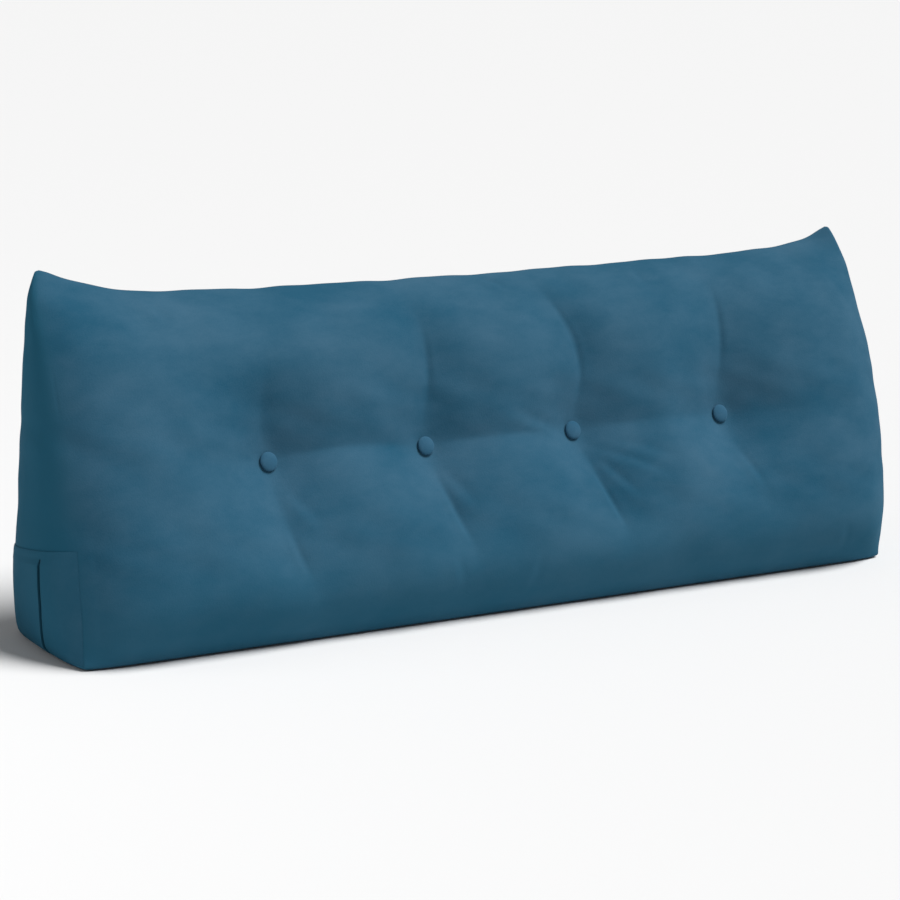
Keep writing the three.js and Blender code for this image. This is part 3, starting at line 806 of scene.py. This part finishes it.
def pocket_height(across, share):
    """Thickness of the pocket over the end panel, for a share across and a share of its height: one
    cloth, two at the hem, lifted behind the pleat, nothing in the slit, thin along the sewn edges."""
    edge = eased(share, PLEAT_EDGE[:, 0], PLEAT_EDGE[:, 1], 0.03)
    beyond = (across - edge) * BASE_DEPTH
    mouth = POCKET_MOUTH[0] * (1 - across) + POCKET_MOUTH[1] * across
    below = (1 - share) * (mouth - POCKET_FOOT)
    hem = np.clip((HEM - below) / 0.003, 0, 1)
    open_below = np.clip((below - PLEAT_OPENS) / 0.008, 0, 1)
    lift = np.where(beyond < 0, PLEAT_LIFT * np.exp(beyond / 0.045), PLEAT_LIP * np.exp(-beyond / 0.030))
    height = POCKET_CLOTH + HEM_FOLD * hem + lift * open_below
    slit = np.clip(np.abs(beyond - SLIT / 2) / (SLIT / 2), 0, 1) ** 3
    height = height * (1 - (1 - slit) * open_below * 0.95)
    sewn = np.clip(np.minimum(across, 1 - across) * BASE_DEPTH / 0.024, 0, 1)
    at_foot = np.clip(share * (mouth - POCKET_FOOT) / 0.010, 0, 1)
    fold = 0.35 + 0.65 * np.clip(below / 0.004, 0, 1) ** 0.5
    return 0.0001 + height * fold * (0.1 + 0.9 * sewn**1.4) * (0.2 + 0.8 * at_foot)


pocket_across = np.concatenate([
    np.linspace(0, 1, 34)[:-1] * 0.92,
    np.linspace(0.92, 1.0, 12)[:-1],
    1 + np.linspace(0, 1, 12)[:-1] * 0.06,
    1.06 + np.linspace(0, 1, 28) * 0.94,
]) / 2
pocket_share = np.concatenate([
    np.linspace(0, 0.80, 30)[:-1],
    np.linspace(0.80, 0.90, 9)[:-1],
    np.linspace(0.90, 1, 6),
])
share_grid = np.broadcast_to(pocket_share[:, None], (len(pocket_share), len(pocket_across)))
edge_grid = eased(share_grid, PLEAT_EDGE[:, 0], PLEAT_EDGE[:, 1], 0.03)
half = pocket_across - 0.5
across_grid = np.where(half < 0, edge_grid + half * 2 * edge_grid, edge_grid + half * 2 * (1 - edge_grid))
across_grid = 0.001 + 0.998 * across_grid
mouth_grid = POCKET_MOUTH[0] * (1 - across_grid) + POCKET_MOUTH[1] * across_grid
pocket_up = (POCKET_FOOT + (mouth_grid - POCKET_FOOT) * share_grid - SEAM_HEIGHT) / (EAR_HEIGHT - SEAM_HEIGHT)
first = sum(panel.shape[0] * panel.shape[1] for panel, _ in panels[:LEFT_END])
left_place = cover_place[cover_joined[first:first + end_up.size]].reshape(end_up.shape + (3,))


def on_left_end(across, up):
    """A place on the filled left end, straight between the four grid points round it."""
    column = np.interp(across, across_lines, np.arange(len(across_lines)))
    row = np.interp(up, row_lines / FACE_HEIGHT, np.arange(len(row_lines)))
    i = np.minimum(row.astype(int), len(row_lines) - 2)
    j = np.minimum(column.astype(int), len(across_lines) - 2)
    a, b = (row - i)[..., None], (column - j)[..., None]
    low = left_place[i, j] * (1 - b) + left_place[i, j + 1] * b
    high = left_place[i + 1, j] * (1 - b) + left_place[i + 1, j + 1] * b
    return low * (1 - a) + high * a


bed = on_left_end(across_grid, pocket_up)
towards_face = on_left_end(np.minimum(1, across_grid + 0.04), pocket_up)
towards_back = on_left_end(np.maximum(0, across_grid - 0.04), pocket_up)
above = on_left_end(across_grid, pocket_up + 0.02)
beneath = on_left_end(across_grid, np.maximum(0, pocket_up - 0.02))
away = np.cross(towards_face - towards_back, above - beneath)
away /= np.linalg.norm(away, axis=-1, keepdims=True)
from_seams = np.minimum(across_grid, 1 - across_grid)
inner = bed + POCKET_GAP * away * (0.3 + 0.7 * np.minimum(1, from_seams * 8))[..., None]
outer = inner + pocket_height(across_grid, share_grid)[..., None] * away
rows, columns = share_grid.shape
walls = [
    (outer, True),
    (inner, False),
    (np.stack([inner[0], outer[0]]), True),
    (np.stack([inner[-1], outer[-1]]), False),
    (np.stack([inner[:, 0], outer[:, 0]], 1), True),
    (np.stack([inner[:, -1], outer[:, -1]], 1), False),
]
pocket_faces, start = [], 0
for wall, outward in walls:
    pocket_faces.append(quads(wall.shape[1], wall.shape[0], start, outward))
    start += wall.shape[0] * wall.shape[1]
pocket_place = np.concatenate([wall.reshape(-1, 3) for wall, _ in walls])
kept, _, whole, threes = welded(pocket_place, np.concatenate(pocket_faces))
pocket = new_mesh("side_pocket_cloth", pocket_place[kept], whole, threes)
pocket.data.set_sharp_from_angle(angle=np.radians(50))
# Painted shadow: the pleat's slit is darkened to 0.25 through the velvet's groove, with the distance from the
# slit given as seam_distance. Painted shade: the pocket takes the darker pile colour of the shaded left end,
# less towards the face.
below_mouth = (1 - share_grid) * (mouth_grid - POCKET_FOOT)
from_slit = np.abs((across_grid - edge_grid) * BASE_DEPTH - SLIT / 2) - SLIT * 0.3
from_slit = np.maximum(0, from_slit + 0.004 * (below_mouth < PLEAT_OPENS))
painted_shade_share = 0.9 - 0.5 * np.clip((across_grid - 0.75) / 0.25, 0, 1)
for name, outside, elsewhere in [("seam_distance", from_slit, 0.01), ("painted_shade", painted_shade_share, 0.6)]:
    values = np.concatenate([outside.ravel(), np.full(start - outside.size, elsewhere)])[kept]
    carried = pocket.data.attributes.new(name, "FLOAT", "POINT")
    carried.data.foreach_set("value", values.astype(np.float32))
pocket.data.materials.append(
    velvet("pocket velvet", COVER_UPRIGHT, COVER_BRUSHED, 0.08, 0.0014, 0.25, 0.06, COVER_SHEEN)
)
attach(pocket, "root")
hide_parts("side_pocket")

# Studio: a pale floor that reaches past the picture, a wide soft light high up to the right of the
# camera and a dimmer one by the left end, in a pale room.
FLOOR_REACH = 30.0
floor_corners = FLOOR_REACH * np.array([[-1, -1, 0], [1, -1, 0], [1, 1, 0], [-1, 1, 0]])
floor = new_mesh("floor", floor_corners, np.array([[0, 1, 2, 3]]))
floor_paint = bpy.data.materials.new("floor paint")
floor_paint.use_nodes = True
paint = floor_paint.node_tree.nodes["Principled BSDF"]
paint.inputs["Base Color"].default_value = (0.78, 0.78, 0.78, 1)
paint.inputs["Roughness"].default_value = 0.9
floor.data.materials.append(floor_paint)

room = bpy.data.worlds.new("room")
bpy.context.scene.world = room
room.use_nodes = True
room.node_tree.nodes["Background"].inputs["Color"].default_value = (1.0, 1.0, 1.0, 1)
room.node_tree.nodes["Background"].inputs["Strength"].default_value = 0.16


def soft_light(name, place, aim, size, watts):
    """A square soft light at a place, turned towards aim."""
    lamp = bpy.data.lights.new(name, "AREA")
    lamp.size = size
    lamp.energy = watts
    light = bpy.data.objects.new(name, lamp)
    light.location = place
    light.rotation_euler = (Vector(aim) - Vector(place)).to_track_quat("-Z", "Y").to_euler()
    bpy.context.scene.collection.objects.link(light)


soft_light("left fill", (-2.6, 0.4, 1.1), (-0.7, 0, 0.2), 1.2, 6.5)
TOWARDS_KEY = (0.40, -0.26, 0.88)
wide_light = bpy.data.lights.new("key", "SUN")
wide_light.energy = 3.75
wide_light.angle = np.radians(30)
key = bpy.data.objects.new("key", wide_light)
key.rotation_euler = Vector(TOWARDS_KEY).to_track_quat("Z", "Y").to_euler()
bpy.context.scene.collection.objects.link(key)

AZIMUTH, ELEVATION, ROLL = np.radians([-36.0, 14.15, 4.12])
out = np.array([np.sin(AZIMUTH), -np.cos(AZIMUTH), 0])
camera_back = out * np.cos(ELEVATION) + np.array([0, 0, np.sin(ELEVATION)])
level_right = np.cross([0, 0, 1], camera_back)
level_right /= np.linalg.norm(level_right)
level_up = np.cross(camera_back, level_right)
camera_right = level_right * np.cos(ROLL) + level_up * np.sin(ROLL)
camera_up = level_up * np.cos(ROLL) - level_right * np.sin(ROLL)
CAMERA_PLACE = (-2.484, -3.311, 1.256)
lens = bpy.data.cameras.new("camera")
lens.sensor_width = 36
lens.lens = 115.84
camera = bpy.data.objects.new("camera", lens)
pose = np.eye(4)
pose[:3, :3] = np.stack([camera_right, camera_up, camera_back], 1)
pose[:3, 3] = CAMERA_PLACE
camera.matrix_world = Matrix(pose.tolist())
bpy.context.scene.collection.objects.link(camera)
bpy.context.scene.camera = camera
bpy.context.scene.view_settings.view_transform = "Standard"
